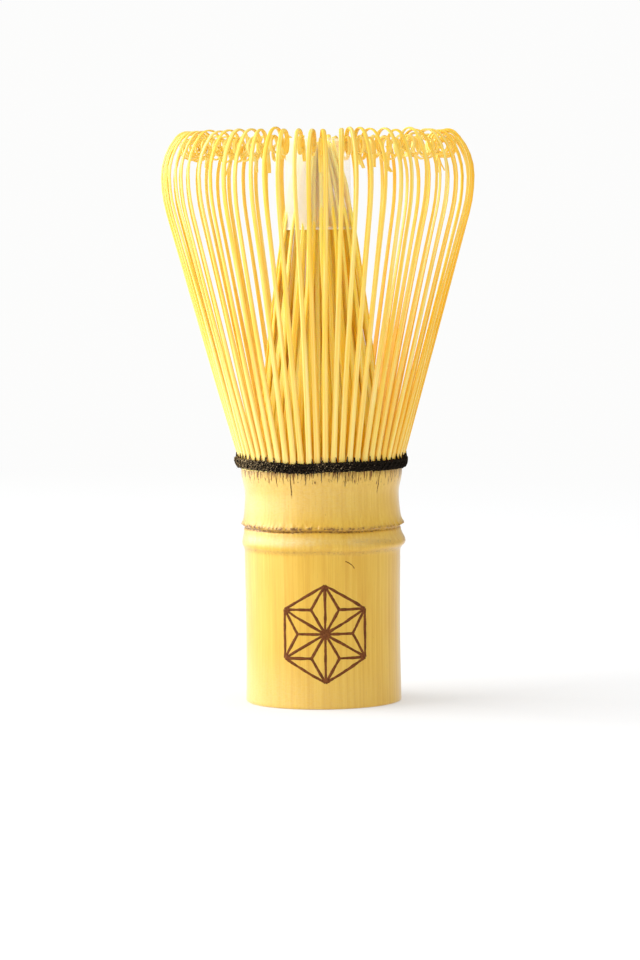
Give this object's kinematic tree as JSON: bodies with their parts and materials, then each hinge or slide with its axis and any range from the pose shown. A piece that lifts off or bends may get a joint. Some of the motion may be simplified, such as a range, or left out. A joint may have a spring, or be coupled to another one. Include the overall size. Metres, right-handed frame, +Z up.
{
  "type": "bamboo tea whisk",
  "caption": "Bamboo tea whisk: hollow handle with a node ring, thread-bound split tines that curl in at the tips, and a sleeve over the inner tines.",
  "frame": {"origin": "centre of the cut end of the handle, which the whisk stands on", "axes": "+Z up the whisk's axis towards the tips of the tines; -Y is the front, where the burned mark is"},
  "size_m": [0.06, 0.06, 0.11],
  "materials": {
    "culm": "satin",
    "outer_tine": "satin",
    "inner_tine": "satin",
    "thread": "matt",
    "sleeve": "translucent",
    "burned_mark": "matt"
  },
  "bodies": {
    "culm": {"handle": "culm", "inner_tines_01": "inner_tine", "inner_tines_02": "inner_tine", "inner_tines_03": "inner_tine", "inner_tines_04": "inner_tine", "inner_tines_05": "inner_tine", "inner_tines_06": "inner_tine", "inner_tines_07": "inner_tine", "inner_tines_08": "inner_tine", "inner_tines_09": "inner_tine", "inner_tines_10": "inner_tine", "inner_tines_11": "inner_tine", "inner_tines_12": "inner_tine", "inner_tines_13": "inner_tine", "inner_tines_14": "inner_tine", "inner_tines_15": "inner_tine", "inner_tines_16": "inner_tine", "outer_lashing": "thread", "inner_lashing": "thread", "thread_knot": "thread"},
    "tine_group_01": {"outer_tines_01": "outer_tine"},
    "tine_group_02": {"outer_tines_02": "outer_tine"},
    "tine_group_03": {"outer_tines_03": "outer_tine"},
    "tine_group_04": {"outer_tines_04": "outer_tine"},
    "tine_group_05": {"outer_tines_05": "outer_tine"},
    "tine_group_06": {"outer_tines_06": "outer_tine"},
    "tine_group_07": {"outer_tines_07": "outer_tine"},
    "tine_group_08": {"outer_tines_08": "outer_tine"},
    "tine_group_09": {"outer_tines_09": "outer_tine"},
    "tine_group_10": {"outer_tines_10": "outer_tine"},
    "tine_group_11": {"outer_tines_11": "outer_tine"},
    "tine_group_12": {"outer_tines_12": "outer_tine"},
    "tine_group_13": {"outer_tines_13": "outer_tine"},
    "tine_group_14": {"outer_tines_14": "outer_tine"},
    "tine_group_15": {"outer_tines_15": "outer_tine"},
    "tine_group_16": {"outer_tines_16": "outer_tine"},
    "sleeve": {"tip_sleeve": "sleeve"}
  },
  "joints": [
    {"name": "tines_01_flex", "type": "hinge", "parent": "culm", "child": "tine_group_01", "pos_m": [0.0151, 0.003, 0.0462], "axis": [-0.1951, 0.9808, 0], "range_deg": [-2.5, 6], "stiffness_Nm_per_rad": 0.009},
    {"name": "tines_02_flex", "type": "hinge", "parent": "culm", "child": "tine_group_02", "pos_m": [0.0128, 0.00856, 0.0462], "axis": [-0.5556, 0.8315, 0], "range_deg": [-2.5, 6], "stiffness_Nm_per_rad": 0.009},
    {"name": "tines_03_flex", "type": "hinge", "parent": "culm", "child": "tine_group_03", "pos_m": [0.00856, 0.0128, 0.0462], "axis": [-0.8315, 0.5556, 0], "range_deg": [-2.5, 6], "stiffness_Nm_per_rad": 0.009},
    {"name": "tines_04_flex", "type": "hinge", "parent": "culm", "child": "tine_group_04", "pos_m": [0.003, 0.0151, 0.0462], "axis": [-0.9808, 0.1951, 0], "range_deg": [-2.5, 6], "stiffness_Nm_per_rad": 0.009},
    {"name": "tines_05_flex", "type": "hinge", "parent": "culm", "child": "tine_group_05", "pos_m": [-0.003, 0.0151, 0.0462], "axis": [-0.9808, -0.1951, 0], "range_deg": [-2.5, 6], "stiffness_Nm_per_rad": 0.009},
    {"name": "tines_06_flex", "type": "hinge", "parent": "culm", "child": "tine_group_06", "pos_m": [-0.00856, 0.0128, 0.0462], "axis": [-0.8315, -0.5556, 0], "range_deg": [-2.5, 6], "stiffness_Nm_per_rad": 0.009},
    {"name": "tines_07_flex", "type": "hinge", "parent": "culm", "child": "tine_group_07", "pos_m": [-0.0128, 0.00856, 0.0462], "axis": [-0.5556, -0.8315, 0], "range_deg": [-2.5, 6], "stiffness_Nm_per_rad": 0.009},
    {"name": "tines_08_flex", "type": "hinge", "parent": "culm", "child": "tine_group_08", "pos_m": [-0.0151, 0.003, 0.0462], "axis": [-0.1951, -0.9808, 0], "range_deg": [-2.5, 6], "stiffness_Nm_per_rad": 0.009},
    {"name": "tines_09_flex", "type": "hinge", "parent": "culm", "child": "tine_group_09", "pos_m": [-0.0151, -0.003, 0.0462], "axis": [0.1951, -0.9808, 0], "range_deg": [-2.5, 6], "stiffness_Nm_per_rad": 0.009},
    {"name": "tines_10_flex", "type": "hinge", "parent": "culm", "child": "tine_group_10", "pos_m": [-0.0128, -0.00856, 0.0462], "axis": [0.5556, -0.8315, 0], "range_deg": [-2.5, 6], "stiffness_Nm_per_rad": 0.009},
    {"name": "tines_11_flex", "type": "hinge", "parent": "culm", "child": "tine_group_11", "pos_m": [-0.00856, -0.0128, 0.0462], "axis": [0.8315, -0.5556, 0], "range_deg": [-2.5, 6], "stiffness_Nm_per_rad": 0.009},
    {"name": "tines_12_flex", "type": "hinge", "parent": "culm", "child": "tine_group_12", "pos_m": [-0.003, -0.0151, 0.0462], "axis": [0.9808, -0.1951, 0], "range_deg": [-2.5, 6], "stiffness_Nm_per_rad": 0.009},
    {"name": "tines_13_flex", "type": "hinge", "parent": "culm", "child": "tine_group_13", "pos_m": [0.003, -0.0151, 0.0462], "axis": [0.9808, 0.1951, 0], "range_deg": [-2.5, 6], "stiffness_Nm_per_rad": 0.009},
    {"name": "tines_14_flex", "type": "hinge", "parent": "culm", "child": "tine_group_14", "pos_m": [0.00856, -0.0128, 0.0462], "axis": [0.8315, 0.5556, 0], "range_deg": [-2.5, 6], "stiffness_Nm_per_rad": 0.009},
    {"name": "tines_15_flex", "type": "hinge", "parent": "culm", "child": "tine_group_15", "pos_m": [0.0128, -0.00856, 0.0462], "axis": [0.5556, 0.8315, 0], "range_deg": [-2.5, 6], "stiffness_Nm_per_rad": 0.009},
    {"name": "tines_16_flex", "type": "hinge", "parent": "culm", "child": "tine_group_16", "pos_m": [0.0151, -0.003, 0.0462], "axis": [0.1951, 0.9808, 0], "range_deg": [-2.5, 6], "stiffness_Nm_per_rad": 0.009},
    {"name": "sleeve_lift", "type": "slide", "parent": "culm", "child": "sleeve", "axis": [0, 0, 1], "range_m": [0, 0.02]}
  ]
}
